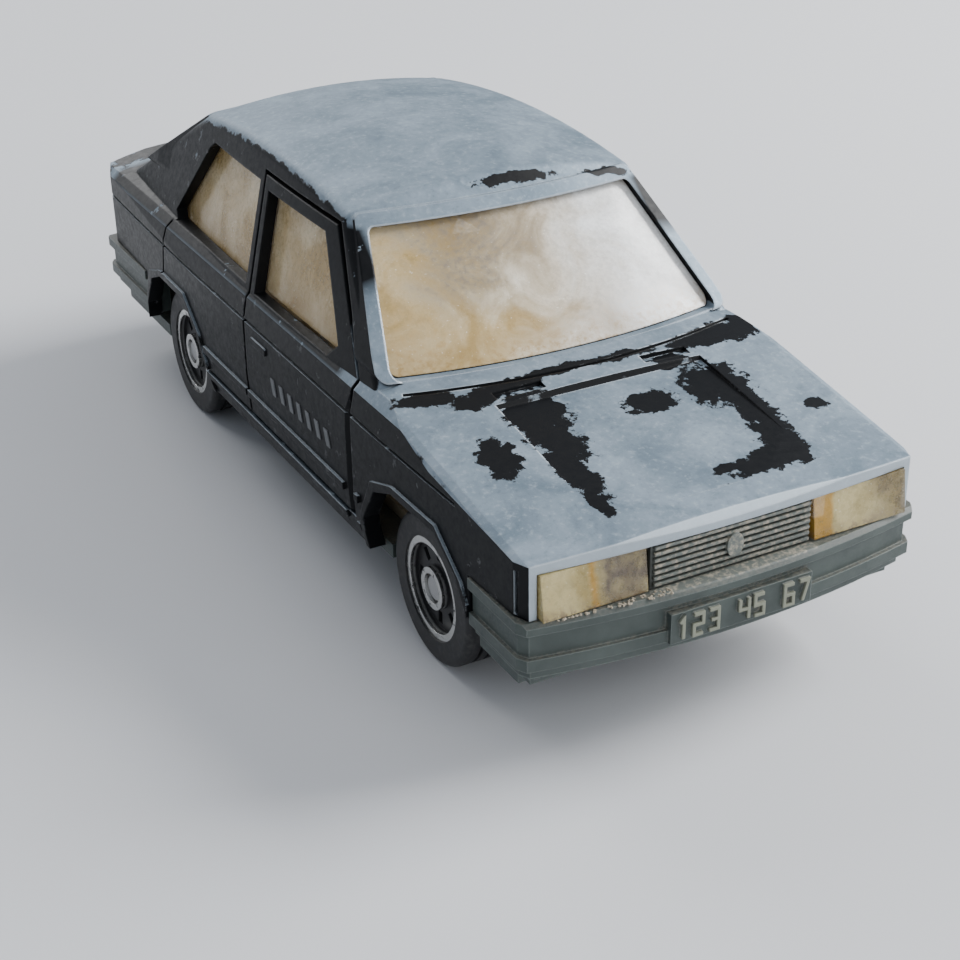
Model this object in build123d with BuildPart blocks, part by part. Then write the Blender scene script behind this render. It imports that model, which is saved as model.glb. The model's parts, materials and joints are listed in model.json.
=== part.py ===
from build123d import *
import os
from math import atan2, cos, sin

# Four-door saloon toy car, about 1/60 scale. Millimetres, +Z up, the car
# faces -Y, its left side is +X, and the wheels stand on Z = 0.

# ---- driving dimensions -------------------------------------------------
HALF_WIDTH = 13.6          # widest part of the body side
NOSE_Y = -35.2             # front face of the body casting
TAIL_Y = 35.2              # rear face of the body casting
SILL_Z = 4.6               # lower edge of the body casting
SHOULDER_Z = 14.9          # level where the cabin starts
ROOF_Z = 25.35             # crown of the roof
ROOF_MID_Y = 4.0           # highest point along the roof
ROOF_ARC_R = 85.0          # radius of the roof line in side view
HOOD_FRONT_Z = 12.95       # hood height at the nose
HOOD_REAR_Z = 15.95        # hood height at the windscreen
COWL_Y = -17.0             # foot of the windscreen pillars

WALL = 0.9                 # casting wall of the lower body
CABIN_WALL = 0.8           # casting wall of roof and pillars
GAP = 0.3                  # shut gap around the opening doors

FRONT_AXLE_Y = -22.3
REAR_AXLE_Y = 18.4
WHEEL_R = 4.9
TYRE_W = 2.8
TYRE_BORE_R = 3.3
WHEEL_OUT_X = 12.4         # outer face of a tyre
AXLE_R = 0.5
HUB_BORE_R = 0.55

BUMPER_TOP = 9.45
BUMPER_LOW = 5.75
LAMP_LOW = 9.55
LAMP_TOP = 12.2
LAMP_IN = 5.6
LAMP_OUT = 12.15
GRILLE_HALF = 5.35
GRILLE_RIBS = 7

HINGE_X = 12.4             # vertical door pivot
HINGE_Y = -12.5
HINGE_PIN_R = 0.3
HINGE_BORE_R = 0.35

BASE_LOW = 4.05            # flat underside of the base plate
BASE_TOP = 5.0
POST_R = 1.3               # cast posts that hold the base plate
POST_YS = (-29.4, 31.2)

AXLE_YS = {"front": FRONT_AXLE_Y, "rear": REAR_AXLE_Y}
SIDES = {"left": 1, "right": -1}

os.makedirs("parts", exist_ok=True)


# ---- outlines -----------------------------------------------------------
def hood_z(y):
    """Height of the hood line in the middle of the car."""
    return HOOD_FRONT_Z + (y - NOSE_Y) * (HOOD_REAR_Z - HOOD_FRONT_Z) / (COWL_Y - NOSE_Y)


def plan_outline(grow):
    """Plan shape of the lower body, as a sketch on the ground plane."""
    nose, tail, half = NOSE_Y - grow, TAIL_Y + grow, HALF_WIDTH + grow
    with BuildSketch(Plane.XY) as outline:
        with BuildLine():
            ThreePointArc((-half + 0.9, nose + 0.5), (0, nose - 0.15), (half - 0.9, nose + 0.5))
            Line((half - 0.9, nose + 0.5), (half - 0.5, nose + 1.5))
            ThreePointArc((half - 0.5, nose + 1.5), (half, 0), (half - 0.6, tail - 2.2))
            Line((half - 0.6, tail - 2.2), (half - 1.2, tail - 0.6))
            ThreePointArc((half - 1.2, tail - 0.6), (0, tail + 0.1), (-half + 1.2, tail - 0.6))
            Line((-half + 1.2, tail - 0.6), (-half + 0.6, tail - 2.2))
            ThreePointArc((-half + 0.6, tail - 2.2), (-half, 0), (-half + 0.5, nose + 1.5))
            Line((-half + 0.5, nose + 1.5), (-half + 0.9, nose + 0.5))
        make_face()
    return outline.sketch


def lower_volume(grow, floor):
    """Solid envelope of the body below the windows, grown by an amount."""
    nose, tail, half = NOSE_Y - grow, TAIL_Y + grow, HALF_WIDTH + grow
    with BuildPart() as volume:
        with BuildSketch(Plane.XY.offset(floor)):
            add(plan_outline(grow))
        extrude(amount=20)
        with BuildSketch(Plane.YZ.offset(-20)):
            with BuildLine():
                Polyline((nose - 1, floor), (nose - 1, 11.85 + grow), (nose + 1.2, 14.05 + grow),
                         (nose + 1.2, 20), (COWL_Y, 20), (COWL_Y, 15.95 + grow),
                         (-12.0, 15.35 + grow), (19.0, 15.6 + grow), (29.5, 16.75 + grow),
                         (32.6, 16.5 + grow), (33.3, 16.85 + grow), (34.4, 16.65 + grow),
                         (tail, 15.9 + grow), (tail + 0.2, 12.0), (tail - 0.3, 9.2),
                         (tail - 0.3, floor), (nose - 1, floor))
            make_face()
        extrude(amount=40, mode=Mode.INTERSECT)
        with BuildSketch(Plane.XZ.offset(-60)):
            with BuildLine():
                Polyline((half - 1.1, 15.55 + grow * 0.8), (half - 0.45, 14.9 + grow * 0.4),
                         (half - 0.1, 13.3), (half, 9.5), (half - 0.15, 6.4), (half - 0.6, 4.4),
                         (half - 0.6, -5), (-half + 0.6, -5), (-half + 0.6, 4.4),
                         (-half + 0.15, 6.4), (-half, 9.5), (-half + 0.1, 13.3),
                         (-half + 0.45, 14.9 + grow * 0.4), (-half + 1.1, 15.55 + grow * 0.8))
                ThreePointArc((-half + 1.1, 15.55 + grow * 0.8), (0, 16.95 + grow),
                              (half - 1.1, 15.55 + grow * 0.8))
            make_face()
        extrude(amount=120, mode=Mode.INTERSECT)
        add(hood_trim(grow), mode=Mode.SUBTRACT)
    return volume.part


def hood_trim(grow):
    """Everything above the crowned, sloping hood."""
    rise = atan2(HOOD_REAR_Z - HOOD_FRONT_Z, COWL_Y - NOSE_Y)
    half = HALF_WIDTH - 0.9 + grow
    start = Plane(origin=(0, NOSE_Y - 3, hood_z(NOSE_Y - 3) + 0.12 + grow),
                  x_dir=(-1, 0, 0), z_dir=(0, cos(rise), sin(rise)))
    with BuildPart() as trim:
        with BuildSketch(start):
            with BuildLine():
                ThreePointArc((-half, -0.36), (0, 0), (half, -0.36))
                Polyline((half, -0.36), (half + 0.45, -0.55), (half + 0.75, -0.95), (16, -0.95),
                         (16, 9), (-16, 9), (-16, -0.95), (-half - 0.75, -0.95),
                         (-half - 0.45, -0.55), (-half, -0.36))
            make_face()
        extrude(amount=(COWL_Y - NOSE_Y + 3) / cos(rise) + 0.3)
    return trim.part


def mix(low, high, z):
    """Value at height z of a line drawn from the shoulder to the roof edge."""
    return low + (high - low) * (z - SHOULDER_Z) / (23.4 - SHOULDER_Z)


def cabin_outline(z, grow):
    """Plan section of the cabin at height z."""
    front_half = mix(12.75, 10.25, z) + grow
    rear_half = mix(11.75, 9.75, z) + grow
    front_y = mix(-17.4, -8.0, z) - grow * 1.4
    front_mid = mix(-19.2, -9.1, z) - grow * 1.4
    rear_y = mix(32.6, 17.3, z) + grow * 2.0
    rear_mid = mix(34.6, 18.8, z) + grow * 2.0
    with BuildSketch(Plane.XY.offset(z)) as outline:
        with BuildLine():
            ThreePointArc((-front_half, front_y), (0, front_mid), (front_half, front_y))
            ThreePointArc((front_half, front_y), (mix(12.95, 10.4, z) + grow, 4.0), (rear_half, rear_y))
            ThreePointArc((rear_half, rear_y), (0, rear_mid), (-rear_half, rear_y))
            ThreePointArc((-rear_half, rear_y), (-mix(12.95, 10.4, z) - grow, 4.0),
                          (-front_half, front_y))
        make_face()
    return outline.sketch


def cabin_volume(grow, floor):
    """Solid envelope of roof, pillars and glass, grown by an amount."""
    with BuildPart() as cabin:
        with BuildSketch(Plane.XY.offset(13.5)):
            add(cabin_outline(13.5, grow))
        with BuildSketch(Plane.XY.offset(25.5)):
            add(cabin_outline(25.5, grow))
        loft(ruled=True)
        with BuildSketch(Plane.YZ.offset(-20)):
            with BuildLine():
                Polyline((-30, floor), (40, floor), (40, 30), (-30, 30), close=True)
            make_face()
        extrude(amount=40, mode=Mode.INTERSECT)
        with BuildSketch(Plane.XZ.offset(-ROOF_MID_Y)):
            with BuildLine():
                ThreePointArc((-14, ROOF_Z - 2 + grow), (0, ROOF_Z + grow), (14, ROOF_Z - 2 + grow))
                Polyline((14, ROOF_Z - 2 + grow), (14, 5), (-14, 5), (-14, ROOF_Z - 2 + grow))
            make_face()
        crown = Axis((0, ROOF_MID_Y, ROOF_Z - ROOF_ARC_R), (1, 0, 0))
        revolve(axis=crown, revolution_arc=360, mode=Mode.INTERSECT)
    return cabin.part


# ---- openings and seams, drawn in side view unless noted ------------------
def side_prism(points, inner, outer, side):
    """Prism of a side-view outline between two distances from the middle."""
    with BuildPart() as prism:
        with BuildSketch(Plane.YZ.offset(inner if side > 0 else -outer)):
            with BuildLine():
                Polyline(*points, close=True)
            make_face()
        extrude(amount=outer - inner)
    return prism.part


def front_prism(points, near, far, corner):
    """Prism of a symmetric front-view outline between two Y positions."""
    mirrored = [(-x, z) for x, z in reversed(points)]
    with BuildPart() as prism:
        with BuildSketch(Plane.XZ.offset(-far)) as face:
            with BuildLine():
                Polyline(*points, *mirrored, close=True)
            make_face()
            fillet(face.vertices(), corner)
        extrude(amount=far - near)
    return prism.part


def door_outline(gap):
    """Front door, window frame included; gap widens it on every edge."""
    return [(-13.9 - gap * 1.3, 6.5 - gap), (-13.9 - gap * 1.3, 15.3), (-7.15 - gap * 1.3, 22.65 + gap),
            (4.15 + gap, 22.75 + gap), (2.95 + gap, 15.2), (2.75 + gap, 6.5 - gap)]


DOOR_WINDOW = [(-10.7, 16.3), (-9.6, 15.3), (2.3, 15.3), (3.35, 21.9), (-5.8, 21.9)]
REAR_WINDOW = [(3.95, 15.5), (18.6, 15.5), (19.3, 16.1), (15.2, 21.7), (14.4, 22.2), (4.95, 22.2)]
WINDSCREEN = [(11.75, 15.9), (9.35, 22.85)]
REAR_SCREEN = [(10.6, 17.3), (8.8, 22.7)]
SCREEN_CORNER = 0.5


def shrink(points, amount):
    """Outline offset inwards, for panes and trims that follow an opening."""
    with BuildSketch(Plane.XY) as face:
        with BuildLine():
            Polyline(*points, close=True)
        make_face()
        offset(amount=-amount, kind=Kind.INTERSECTION, mode=Mode.REPLACE)
    return [((edge @ 0).X, (edge @ 0).Y) for edge in face.wires()[0].order_edges()]


def arch_outline(centre, grow):
    """Flat-topped wheel opening around an axle."""
    half, top = 6.7 + grow, 10.5 + grow
    return [(centre - half - 0.4, 3.0), (centre - half, 6.6), (centre - half + 1.3, 8.8),
            (centre - 3.0, top), (centre + 2.4, top), (centre + half - 2.0, top - 0.9),
            (centre + half - 0.3, 7.0), (centre + half, 3.0)]


def skin_band(inner_grow, outer_grow):
    """Thin layer that follows the outside of the lower body."""
    with BuildPart() as band:
        add(lower_volume(outer_grow, SILL_Z))
        add(lower_volume(inner_grow, SILL_Z - 1), mode=Mode.SUBTRACT)
    return band.part


def side_lines(low, high, start, end, side):
    """Long, narrow strip along one body side."""
    return side_prism([(start, low), (end, low), (end, high), (start, high)], 11.5, 15, side)


def bumper_ring(grow, z_low, z_high, sign, thickness):
    """One horizontal layer of a wrap-round bumper; sign -1 is the front."""
    end_y = -29.0 if sign < 0 else 25.2
    half = 13.4 + grow
    tip = sign * (36.35 + grow)
    corner_y = sign * (35.05 + grow)
    with BuildPart() as ring:
        with BuildSketch(Plane.XY.offset(z_low)):
            with BuildLine():
                ThreePointArc((-half + 0.35, corner_y), (0, tip), (half - 0.35, corner_y))
                Polyline((half - 0.35, corner_y), (half, corner_y - sign * 0.65), (half, end_y),
                         (half - thickness, end_y), (half - thickness, corner_y - sign * thickness),
                         (-half + thickness, corner_y - sign * thickness),
                         (-half + thickness, end_y), (-half, end_y),
                         (-half, corner_y - sign * 0.65), (-half + 0.35, corner_y))
            make_face()
        extrude(amount=z_high - z_low)
    return ring.part


# ---- raised figures of a plain number plate -------------------------------
STROKES = {
    "1": [[(0.15, 1.6), (0.55, 2), (0.55, 0)]],
    "2": [[(0, 2), (1, 2), (1, 1), (0, 1), (0, 0), (1, 0)]],
    "3": [[(0, 2), (1, 2), (1, 0), (0, 0)], [(0.2, 1), (1, 1)]],
    "4": [[(0, 2), (0, 1), (1, 1)], [(1, 2), (1, 0)]],
    "5": [[(1, 2), (0, 2), (0, 1), (1, 1), (1, 0), (0, 0)]],
    "6": [[(1, 2), (0, 2), (0, 0), (1, 0), (1, 1), (0, 1)]],
    "7": [[(0, 2), (1, 2), (0.4, 0)]],
}
PLATE_TEXT = "123 45 67"
FIGURE_W = 0.6
FIGURE_H = 1.3
FIGURE_PITCH = 1.02


def plate_figures(face_plane):
    """Raised figures standing on a plane, centred on its origin."""
    start = -FIGURE_PITCH * len(PLATE_TEXT) / 2 + (FIGURE_PITCH - FIGURE_W) / 2
    with BuildPart() as figures:
        with BuildSketch(face_plane):
            for place, figure in enumerate(PLATE_TEXT):
                for stroke in STROKES.get(figure, []):
                    left = start + place * FIGURE_PITCH
                    points = [(left + x * FIGURE_W, (y / 2 - 0.5) * FIGURE_H) for x, y in stroke]
                    with BuildLine():
                        Polyline(*points)
                    trace(line_width=0.2)
        extrude(amount=0.22)
    return figures.part


# ---- skin and cavity shared by the body and the doors ---------------------
def outer_skin():
    """Solid outside shape of the painted castings."""
    with BuildPart() as cabin:
        add(cabin_volume(0, SHOULDER_Z + 0.2))
        fillet(cabin.edges().filter_by(lambda e: e.center().Z > SHOULDER_Z + 1), 0.9)
    with BuildPart() as skin:
        add(lower_volume(0, SILL_Z))
        add(cabin)
    return skin.part


def hollow():
    """Room inside the castings."""
    with BuildPart() as room:
        add(lower_volume(-WALL, 0))
        add(cabin_volume(-CABIN_WALL, SHOULDER_Z - 0.6))
    return room.part


SKIN = outer_skin()
ROOM = hollow()


# ---- body_shell: zinc casting with roof, hood, fenders and rear doors ------
def window_bead(points, near, far):
    """Raised rim along the sides and the top of a screen opening."""
    outline = points + [(-x, z) for x, z in reversed(points)]
    outer = [(x, max(z, points[0][1])) for x, z in shrink(outline, -0.7) if x > 0]
    outer.sort(key=lambda point: point[1])
    with BuildPart() as bead:
        add(cabin_volume(0.16, SHOULDER_Z))
        add(cabin_volume(-0.4, SHOULDER_Z - 1), mode=Mode.SUBTRACT)
        add(front_prism(outer, near, far, 0.6), mode=Mode.INTERSECT)
    return bead.part


def seam_lines(side):
    """Shut lines and the waist groove of one side, as cutting strips."""
    seams = [
        [(-27.5, 13.15), (33.6, 13.3), (33.6, 13.55), (-27.5, 13.4)],
        [(20.2, 10.9), (18.9, 15.4), (19.15, 15.4), (20.45, 10.9)],
        [(2.75, 6.5), (2.95, 6.2), (14.5, 6.2), (14.5, 6.45), (2.95, 6.45)],
        [(-34.0, 9.6), (-33.75, 9.6), (-33.75, 12.3), (-34.0, 12.3)],
    ]
    with BuildPart() as tool:
        for seam in seams:
            add(side_prism(seam, 11.5, 15, side))
        add(skin_band(-0.18, 1), mode=Mode.INTERSECT)
    return tool.part


def hood_details():
    """Recess in the middle of the hood, the hood seam and two air slots."""
    front, rear = -33.2, -21.3
    with BuildPart() as tool:
        with BuildSketch(Plane.YZ.offset(-7.2)):
            with BuildLine():
                Polyline((front, hood_z(front) + 0.1), (rear, hood_z(rear) - 0.24),
                         (rear + 0.25, hood_z(rear) + 0.3), (rear, hood_z(rear) + 2),
                         (front, hood_z(front) + 2), (front, hood_z(front) + 0.1))
            make_face()
        extrude(amount=14.4)
        with BuildSketch(Plane.XY.offset(hood_z(-19.3) - 0.12)):
            with BuildLine():
                seam = ThreePointArc((-11.6, -17.9), (0, -19.6), (11.6, -17.9))
            trace(seam, line_width=0.28)
        extrude(amount=3)
        with BuildSketch(Plane.XY.offset(hood_z(-20.3) - 0.15)):
            with Locations((-5.15, -20.35), (5.15, -20.35)):
                Rectangle(3.3, 0.8)
        extrude(amount=3)
    return tool.part


def rear_details():
    """Boot seams cut into the deck and the tail."""
    with BuildPart() as tool:
        with BuildSketch(Plane.XY.offset(16.3)):
            with BuildLine():
                seam = Polyline((-10.6, 36), (-10.6, 32.2), (10.6, 32.2), (10.6, 36))
            trace(seam, line_width=0.28)
        extrude(amount=3)
    return tool.part


def tail_lamps():
    """Low frames around two pairs of tail lamps."""
    with BuildPart() as lamps:
        with BuildSketch(Plane.XZ.offset(-37.0)):
            with Locations((-9.1, 12.2), (9.1, 12.2)):
                Rectangle(5.4, 3.0)
            with Locations((-10.4, 12.2), (-7.8, 12.2), (7.8, 12.2), (10.4, 12.2)):
                Rectangle(2.2, 2.4, mode=Mode.SUBTRACT)
        extrude(amount=3.0)
        add(skin_band(-0.3, 0.25), mode=Mode.INTERSECT)
    return lamps.part


def hinge_lug(side):
    """Bracket from the fender wall that carries the upper door pivot."""
    with BuildPart() as lug:
        with BuildSketch(Plane.XY.offset(12.0)):
            with Locations((side * HINGE_X, HINGE_Y)):
                Circle(0.6)
            with Locations((side * 11.3, HINGE_Y)):
                Rectangle(2.2, 1.2)
            with Locations((side * 10.6, -14.1)):
                Rectangle(0.8, 4.4)
            with Locations((side * 11.6, -15.9)):
                Rectangle(2.8, 1.0)
            with Locations((side * HINGE_X, HINGE_Y)):
                Circle(HINGE_BORE_R, mode=Mode.SUBTRACT)
        extrude(amount=0.8)
    return lug.part


def body_additions():
    """Cast posts, bosses, brackets and raised lines inside and outside."""
    with BuildPart() as extra:
        for y, top in zip(POST_YS, (13.3, 16.1)):
            with BuildSketch(Plane.XY.offset(4.45)):
                with Locations((0, y)):
                    Circle(POST_R)
            extrude(amount=top - 4.45)
            with BuildSketch(Plane.XY.offset(4.12)):
                with Locations((0, y)):
                    Circle(1.9)
            extrude(amount=0.34)
        with BuildSketch(Plane.XY.offset(7.0)):
            with Locations((0, FRONT_AXLE_Y)):
                Circle(1.0)
        extrude(amount=7.7)
        for side in SIDES.values():
            add(hinge_lug(side))
            with BuildSketch(Plane.XY.offset(5.15)):
                with Locations((side * HINGE_X, HINGE_Y)):
                    Circle(0.8)
            extrude(amount=1.05)
    return extra.part


def raised_lines(side):
    """Protective strips along the side and lips around the wheel openings."""
    with BuildPart() as lines:
        for start, end in ((-15.2, -14.7), (-13.1, 11.6)):
            add(side_lines(7.7, 8.2, start, end, side))
            add(side_lines(5.7, 6.2, start, end, side))
        add(side_lines(7.7, 8.2, 26.0, 30.5, side))
        for centre in AXLE_YS.values():
            add(side_prism(arch_outline(centre, 0.5), 11.5, 15, side))
        add(skin_band(-0.3, 0.2), mode=Mode.INTERSECT)
    return lines.part


with BuildPart() as body_shell:
    add(SKIN)
    for side in SIDES.values():
        add(raised_lines(side))
    add(window_bead(WINDSCREEN, -26, -5))
    add(window_bead(REAR_SCREEN, 12, 34))
    add(tail_lamps())
    add(ROOM, mode=Mode.SUBTRACT)
    add(front_prism(WINDSCREEN, -26, -5, SCREEN_CORNER), mode=Mode.SUBTRACT)
    add(front_prism(REAR_SCREEN, 12, 34, SCREEN_CORNER), mode=Mode.SUBTRACT)
    add(hood_details(), mode=Mode.SUBTRACT)
    add(rear_details(), mode=Mode.SUBTRACT)
    for side in SIDES.values():
        add(seam_lines(side), mode=Mode.SUBTRACT)
        add(side_prism(REAR_WINDOW, 8, 15, side), mode=Mode.SUBTRACT)
        add(side_prism(door_outline(GAP), 8.6, 15, side), mode=Mode.SUBTRACT)
        for centre in AXLE_YS.values():
            add(side_prism(arch_outline(centre, 0), 11.4, 15, side), mode=Mode.SUBTRACT)
    with BuildSketch(Plane.XZ.offset(32.0)):
        with Locations((0, (LAMP_LOW + LAMP_TOP) / 2 - 0.6)):
            Rectangle(2 * LAMP_OUT + 0.2, LAMP_TOP - LAMP_LOW + 1.3)
    extrude(amount=5, mode=Mode.SUBTRACT)
    with BuildSketch(Plane.XY.offset(0)):
        with Locations((0, -35.0)):
            Rectangle(40, 12.2)
        with Locations((0, 31.1)):
            Rectangle(40, 12.4)
    extrude(amount=BUMPER_TOP + 0.05, mode=Mode.SUBTRACT)
    add(body_additions())
    with BuildSketch(Plane.XY.offset(4)):
        with Locations((HINGE_X, HINGE_Y), (-HINGE_X, HINGE_Y)):
            Circle(HINGE_BORE_R)
    extrude(amount=9, mode=Mode.SUBTRACT)


# ---- doors: castings with window frame, hinge post and pivot stubs ---------
def door(side):
    """One opening front door."""
    with BuildPart() as panel:
        add(SKIN)
        add(raised_lines(side))
        add(ROOM, mode=Mode.SUBTRACT)
        add(side_prism(door_outline(0), 8.6, 15, side), mode=Mode.INTERSECT)
        add(side_prism(DOOR_WINDOW, 8, 15, side), mode=Mode.SUBTRACT)
        add(seam_lines(side), mode=Mode.SUBTRACT)
        with BuildSketch(Plane.XY.offset(5)):
            with BuildLine():
                Polyline((side * 13.15, -14.0), (side * 14.2, -12.7), (side * 14.2, -14.0), close=True)
            make_face()
        extrude(amount=12, mode=Mode.SUBTRACT)
        with BuildSketch(Plane.XY.offset(11.8)):
            with Locations((side * (HINGE_X - 0.5), HINGE_Y - 0.25)):
                Rectangle(2.4, 2.9)
        extrude(amount=1.2, mode=Mode.SUBTRACT)
        with BuildSketch(Plane.XY.offset(6.5)):
            with Locations((side * HINGE_X, HINGE_Y)):
                Circle(0.6)
            with Locations((side * (HINGE_X + 0.3), HINGE_Y)):
                Rectangle(0.6, 1.2)
        extrude(amount=5.3)
        with BuildSketch(Plane.XY.offset(5.3)):
            with Locations((side * HINGE_X, HINGE_Y)):
                Circle(HINGE_PIN_R)
        extrude(amount=7.4)
        with BuildSketch(Plane.YZ.offset(side * 13.45 - 0.2)):
            with Locations((0.4, 12.3)):
                RectangleRounded(2.6, 0.55, 0.2)
        extrude(amount=0.4)
    return panel.part


with BuildPart() as door_left:
    add(door(SIDES["left"]))

with BuildPart() as door_right:
    add(door(SIDES["right"]))


# ---- base_plate: plastic floor with grille, bumpers and plates --------------
def bumper(sign):
    """Bumper in four horizontal layers."""
    with BuildPart() as layers:
        add(bumper_ring(-0.05, 8.75, BUMPER_TOP, sign, 1.9))
        chamfer(layers.faces().sort_by(Axis.Z)[-1].edges().filter_by(
            lambda e: abs(e.center().Y) > 34.9), 0.25)
        add(bumper_ring(-0.35, 7.2, 8.75, sign, 1.6))
        add(bumper_ring(-0.1, 6.45, 7.2, sign, 1.85))
        add(bumper_ring(-0.5, BUMPER_LOW, 6.45, sign, 1.45))
    return layers.part


def plate_block(sign):
    """Number plate pad with raised figures on a bumper."""
    face_y = sign * 36.35
    with BuildPart() as block:
        with Locations((0, sign * 35.75, 7.35)):
            Box(9.5, 1.2, 1.9)
        add(plate_figures(Plane(origin=(0, face_y, 7.35), x_dir=(-sign, 0, 0), z_dir=(0, sign, 0))))
    return block.part


def grille():
    """Ribbed grille with a plain round boss, and the wall that carries it."""
    low, high = BUMPER_TOP - 0.4, LAMP_TOP
    pitch = (high - low - 0.5) / GRILLE_RIBS
    with BuildPart() as panel:
        with BuildSketch(Plane.XZ.offset(34.2)):
            with Locations((0, (low + high) / 2)):
                Rectangle(2 * GRILLE_HALF, high - low)
        extrude(amount=0.8)
        with BuildSketch(Plane.XZ.offset(34.9)):
            with Locations(*[(0, low + 0.7 + pitch * rib) for rib in range(GRILLE_RIBS)]):
                Rectangle(2 * GRILLE_HALF - 0.3, pitch * 0.5)
        extrude(amount=0.35)
        with BuildSketch(Plane.XZ.offset(34.9)):
            with Locations((0, 10.9)):
                Ellipse(0.55, 0.75)
        extrude(amount=0.5)
    return panel.part


def floor_outline():
    """Plan of the floor slab with the wheel wells cut away."""
    with BuildSketch(Plane.XY) as outline:
        with Locations((0, 0.8)):
            Rectangle(2 * 12.1, 66.4)
        for centre in AXLE_YS.values():
            with Locations((-11.2, centre), (11.2, centre)):
                Rectangle(4.2, 11.4, mode=Mode.SUBTRACT)
    return outline.sketch


def underside_relief():
    """Shallow castings of engine, gearbox, axles and exhaust."""
    with BuildPart() as relief:
        with BuildSketch(Plane.XY.offset(3.45)):
            with Locations((0, -24.6)):
                Rectangle(7.0, 7.4)
            with Locations((0, -17.0)):
                Rectangle(4.6, 8.0)
            with Locations((5.6, 8.5)):
                Rectangle(4.0, 8.5)
            with Locations((-4.5, 27.8)):
                Circle(3.4)
        extrude(amount=0.8, taper=-12)
        with BuildSketch(Plane.XY.offset(3.6)):
            for centre in AXLE_YS.values():
                with Locations((0, centre)):
                    Rectangle(17.6, 2.6)
        extrude(amount=0.6)
        with BuildSketch(Plane.XZ.offset(-33.4)):
            with Locations((5.6, 4.15)):
                Circle(0.55)
        extrude(amount=50)
        with BuildSketch(Plane.XZ.offset(-14)):
            with Locations((0, 4.1)):
                Circle(0.6)
        extrude(amount=28)
    return relief.part


def axle_guides():
    """Pairs of slotted cheeks that guide the axles up and down."""
    with BuildPart() as guides:
        with BuildSketch(Plane.XY.offset(4.2)):
            for centre in AXLE_YS.values():
                with Locations((-8.4, centre), (8.4, centre)):
                    Rectangle(0.9, 3.6)
        extrude(amount=3.0)
    return guides.part


with BuildPart() as base_plate:
    with BuildSketch(Plane.XY.offset(BASE_LOW)):
        add(floor_outline())
    extrude(amount=BASE_TOP - BASE_LOW)
    add(underside_relief())
    add(axle_guides())
    for sign in (-1, 1):
        add(bumper(sign))
        with Locations((0, sign * 32.9, 6.05)):
            Box(24.5, 2.2, 2.2)
        add(plate_block(sign))
    add(grille())
    with BuildSketch(Plane.XY.offset(WHEEL_R - AXLE_R - 0.02)):
        for centre in AXLE_YS.values():
            with Locations((0, centre)):
                Rectangle(30, 2 * AXLE_R + 0.1)
    extrude(amount=6, mode=Mode.SUBTRACT)
    for y in POST_YS:
        with BuildSketch(Plane.XY):
            with Locations((0, y)):
                Circle(POST_R + 0.04)
        extrude(amount=8, mode=Mode.SUBTRACT)
        with BuildSketch(Plane.XY):
            with Locations((0, y)):
                Circle(2.0)
        extrude(amount=4.48, mode=Mode.SUBTRACT)
        with Locations((0, y, 4.9)):
            Cylinder(2.9, 0.7)
            Cylinder(POST_R + 0.04, 1.4, mode=Mode.SUBTRACT)


# ---- glazing: one clear moulding for all the windows -------------------------
def pane(opening, near, far, grow):
    """Part of the moulding that fills a screen opening, to a stated depth."""
    outline = opening + [(-x, z) for x, z in reversed(opening)]
    corners = sorted([(x, z) for x, z in shrink(outline, 0.06) if x > 0], key=lambda p: p[1])
    with BuildPart() as raised:
        add(cabin_volume(grow, 15.35))
        add(cabin_volume(-1.5, 14.0), mode=Mode.SUBTRACT)
        add(front_prism(corners, near, far, SCREEN_CORNER), mode=Mode.INTERSECT)
    return raised.part


with BuildPart() as glazing:
    add(cabin_volume(-0.95, 15.35))
    add(cabin_volume(-1.5, 14.0), mode=Mode.SUBTRACT)
    add(pane(WINDSCREEN, -26, -5, -0.3))
    add(pane(REAR_SCREEN, 12, 34, 0.2))
    with Locations((11.6, -12.6, 15.9), (-11.6, -12.6, 15.9)):
        Box(2.6, 3.6, 2.6, mode=Mode.SUBTRACT)
    with Locations((0, 32, 15.5)):
        Box(26, 8, 2.2, mode=Mode.SUBTRACT)


# ---- headlamp_lenses: one clear bar with two lamp blocks ----------------------
with BuildPart() as headlamp_lenses:
    with BuildSketch(Plane.YZ.offset(LAMP_IN)):
        with BuildLine():
            Polyline((-33.9, LAMP_LOW), (-35.3, LAMP_LOW), (-34.95, LAMP_TOP), (-33.9, LAMP_TOP),
                     close=True)
        make_face()
    extrude(amount=LAMP_OUT - LAMP_IN)
    mirror(about=Plane.YZ)
    with Locations((0, -33.75, 10.9)):
        Box(2 * LAMP_OUT, 0.6, 1.6)


# ---- interior_tub: seats, dash and steering wheel in one moulding ------------
SEAT_X = 5.3
TUB_Z = 5.05


def front_seat(x):
    """Cushion, leaning backrest and headrest."""
    with BuildPart() as seat:
        with Locations((x, -3.4, 7.4)):
            Box(6.2, 6.6, 3.4)
        fillet(seat.edges().filter_by(Axis.X), 0.6)
        with BuildSketch(Plane(origin=(x, -0.6, 5.6), x_dir=(1, 0, 0), z_dir=(0, -0.97, 0.24))):
            with Locations((0, 4.9)):
                RectangleRounded(6.0, 8.6, 0.9)
            with Locations((0, 9.9)):
                RectangleRounded(3.4, 2.6, 0.7)
        extrude(amount=-1.5)
    return seat.part


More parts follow.
